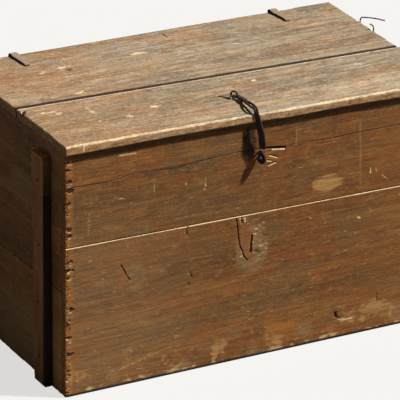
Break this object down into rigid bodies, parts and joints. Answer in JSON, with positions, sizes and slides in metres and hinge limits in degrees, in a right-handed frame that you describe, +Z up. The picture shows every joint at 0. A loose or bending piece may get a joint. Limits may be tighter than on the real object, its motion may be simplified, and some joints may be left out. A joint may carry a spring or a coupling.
{
  "type": "lidded shipping crate",
  "caption": "Old nailed plank crate with end battens, a two-board lid on rear strap hinges, and a bent wire hasp over a front staple.",
  "frame": {"origin": "middle of the underside, on the middle bottom board's lower face, at floor level", "axes": "+X along the crate to the right end with the wire hooks, -Y is the front with the hasp, +Z up"},
  "size_m": [0.9028, 0.501, 0.536],
  "materials": {
    "wall_wood": "bare aged pine, brown, dry and worn",
    "lid_wood": "bare weathered pine, grey-tan, dry",
    "rusty_iron": "rusted, matt"
  },
  "bodies": {
    "box": {"back_board_lower": "wall_wood", "back_board_upper": "wall_wood", "back_left_nail_1": "rusty_iron", "back_left_nail_2": "rusty_iron", "back_left_nail_3": "rusty_iron", "back_left_nail_4": "rusty_iron", "back_right_nail_1": "rusty_iron", "back_right_nail_2": "rusty_iron", "back_right_nail_3": "rusty_iron", "back_right_nail_4": "rusty_iron", "bottom_board_front": "wall_wood", "bottom_board_middle": "wall_wood", "bottom_board_rear": "wall_wood", "front_board_lower": "wall_wood", "front_board_upper": "wall_wood", "front_left_nail_1": "rusty_iron", "front_left_nail_2": "rusty_iron", "front_left_nail_3": "rusty_iron", "front_left_nail_4": "rusty_iron", "front_right_nail_1": "rusty_iron", "front_right_nail_2": "rusty_iron", "front_right_nail_3": "rusty_iron", "front_right_nail_4": "rusty_iron", "front_staple": "rusty_iron", "hinge_leaf_left": "rusty_iron", "hinge_leaf_right": "rusty_iron", "hinge_pin_left": "rusty_iron", "hinge_pin_right": "rusty_iron", "leaf_nail_left": "rusty_iron", "leaf_nail_right": "rusty_iron", "left_batten_front": "wall_wood", "left_batten_rear": "wall_wood", "left_end_board_lower": "wall_wood", "left_end_board_upper": "wall_wood", "right_batten_front": "wall_wood", "right_batten_rear": "wall_wood", "right_end_board_lower": "wall_wood", "right_end_board_upper": "wall_wood"},
    "lid": {"end_hook_small": "rusty_iron", "end_wire_long": "rusty_iron", "hasp_staple": "rusty_iron", "hinge_strap_left": "rusty_iron", "hinge_strap_right": "rusty_iron", "lid_board_front": "lid_wood", "lid_board_rear": "lid_wood", "lid_cleat_left": "wall_wood", "lid_cleat_right": "wall_wood", "strap_nail_left_1": "rusty_iron", "strap_nail_left_2": "rusty_iron", "strap_nail_right_1": "rusty_iron", "strap_nail_right_2": "rusty_iron"},
    "hasp": {"hasp_loop": "rusty_iron"}
  },
  "joints": [
    {"name": "lid_hinge", "type": "hinge", "parent": "box", "child": "lid", "pos_m": [0, 0.2378, 0.4975], "axis": [-1, 0, 0], "range_deg": [0, 180]},
    {"name": "hasp_hinge", "type": "hinge", "parent": "lid", "child": "hasp", "pos_m": [-0.0267, -0.1674, 0.5247], "axis": [-1, 0, 0], "range_deg": [0, 90]}
  ]
}
